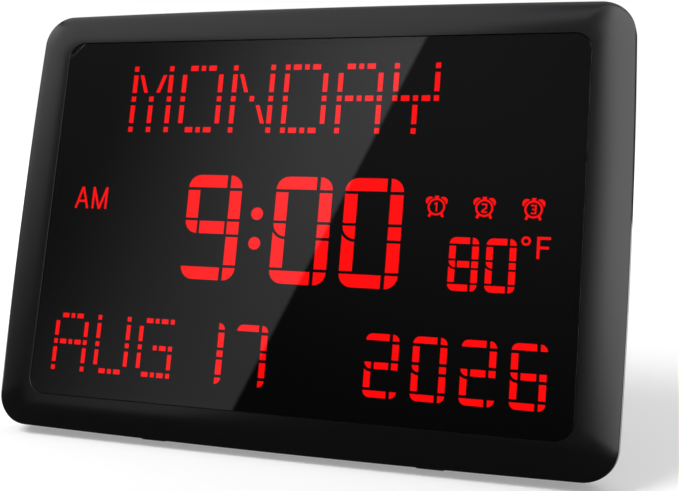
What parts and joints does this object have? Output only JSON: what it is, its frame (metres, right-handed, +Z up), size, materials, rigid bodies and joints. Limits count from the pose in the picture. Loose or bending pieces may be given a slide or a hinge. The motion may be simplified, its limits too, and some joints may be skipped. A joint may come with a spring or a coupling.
{
  "type": "digital day clock",
  "caption": "Wide low desk clock with a smoked lens, red segment letters and digits for weekday, time, date and temperature, and a folding rear stand.",
  "frame": {"origin": "on the surface it stands on, below the middle of its bounding box", "axes": "+X to the right as a reader faces the display, +Y to the rear, +Z up; the face leans back"},
  "size_m": [0.3312, 0.086, 0.2289],
  "materials": {
    "case_black": "satin moulded plastic, softly shiny",
    "cover_black": "fine spark texture, matt",
    "lens_smoke": "polished smoked acrylic",
    "tape_black": "foam tape",
    "mask_black": "matt black",
    "segment_lit": "frosted resin lit red from behind",
    "segment_dark": "frosted resin, unlit",
    "board_green": "solder mask",
    "lamp_cream": "lamp package",
    "chip_black": "moulded package",
    "capacitor_blue": "sleeved can",
    "sensor_grey": "epoxy",
    "steel": "plated steel",
    "brass": "spring brass",
    "switch_grey": "switch body",
    "cable_white": "flat cable",
    "rubber": "soft rubber",
    "button_grey": "satin"
  },
  "bodies": {
    "clock_case": {"front_bezel": "case_black", "lens": "lens_smoke", "lens_tape": "tape_black", "reflector": "mask_black", "weekday_segments": "segment_lit", "time_segments": "segment_lit", "month_segments": "segment_lit", "day_segments": "segment_lit", "year_segments": "segment_lit", "temperature_segments": "segment_lit", "am_marker": "segment_lit", "degree_marker": "segment_lit", "alarm_markers": "segment_lit", "spare_segments": "segment_dark", "lamp_board": "board_green", "lamps": "lamp_cream", "lamp_drivers": "chip_black", "clock_chip": "chip_black", "crystal": "steel", "capacitors": "capacitor_blue", "voltage_regulator": "chip_black", "buzzer": "chip_black", "light_sensor": "sensor_grey", "temperature_sensor": "sensor_grey", "power_socket": "steel", "board_screws": "steel", "rear_cover": "cover_black", "cover_screws": "steel", "key_board": "board_green", "key_switches": "switch_grey", "key_cable": "cable_white", "key_screws": "steel", "coin_cell": "steel", "battery_contacts": "brass", "stand_pin": "steel", "rubber_feet": "rubber"},
    "stand": {"stand_leg": "cover_black", "stand_shoe": "rubber"},
    "battery_lid": {"battery_door": "cover_black"},
    "set_button": {"button_set": "button_grey"},
    "up_button": {"button_up": "button_grey"},
    "down_button": {"button_down": "button_grey"},
    "alarm_button": {"button_alarm": "button_grey"},
    "dimmer_button": {"button_dimmer": "button_grey"}
  },
  "joints": [
    {"name": "stand_fold", "type": "hinge", "parent": "clock_case", "child": "stand", "pos_m": [0, 0.00876, 0.11266], "axis": [-1, 0, 0], "range_deg": [0, 27.6]},
    {"name": "battery_lid_off", "type": "slide", "parent": "clock_case", "child": "battery_lid", "axis": [0, 0.9583, -0.2857], "range_m": [0, 0.008]},
    {"name": "set_press", "type": "slide", "parent": "clock_case", "child": "set_button", "axis": [0, -0.9583, 0.2857], "range_m": [0, 0.0006], "stiffness_N_per_m": 600, "springref_m": -0.0004},
    {"name": "up_press", "type": "slide", "parent": "clock_case", "child": "up_button", "axis": [0, -0.9583, 0.2857], "range_m": [0, 0.0006], "stiffness_N_per_m": 600, "springref_m": -0.0004},
    {"name": "down_press", "type": "slide", "parent": "clock_case", "child": "down_button", "axis": [0, -0.9583, 0.2857], "range_m": [0, 0.0006], "stiffness_N_per_m": 600, "springref_m": -0.0004},
    {"name": "alarm_press", "type": "slide", "parent": "clock_case", "child": "alarm_button", "axis": [0, -0.9583, 0.2857], "range_m": [0, 0.0006], "stiffness_N_per_m": 600, "springref_m": -0.0004},
    {"name": "dimmer_press", "type": "slide", "parent": "clock_case", "child": "dimmer_button", "axis": [0, -0.9583, 0.2857], "range_m": [0, 0.0006], "stiffness_N_per_m": 600, "springref_m": -0.0004}
  ]
}
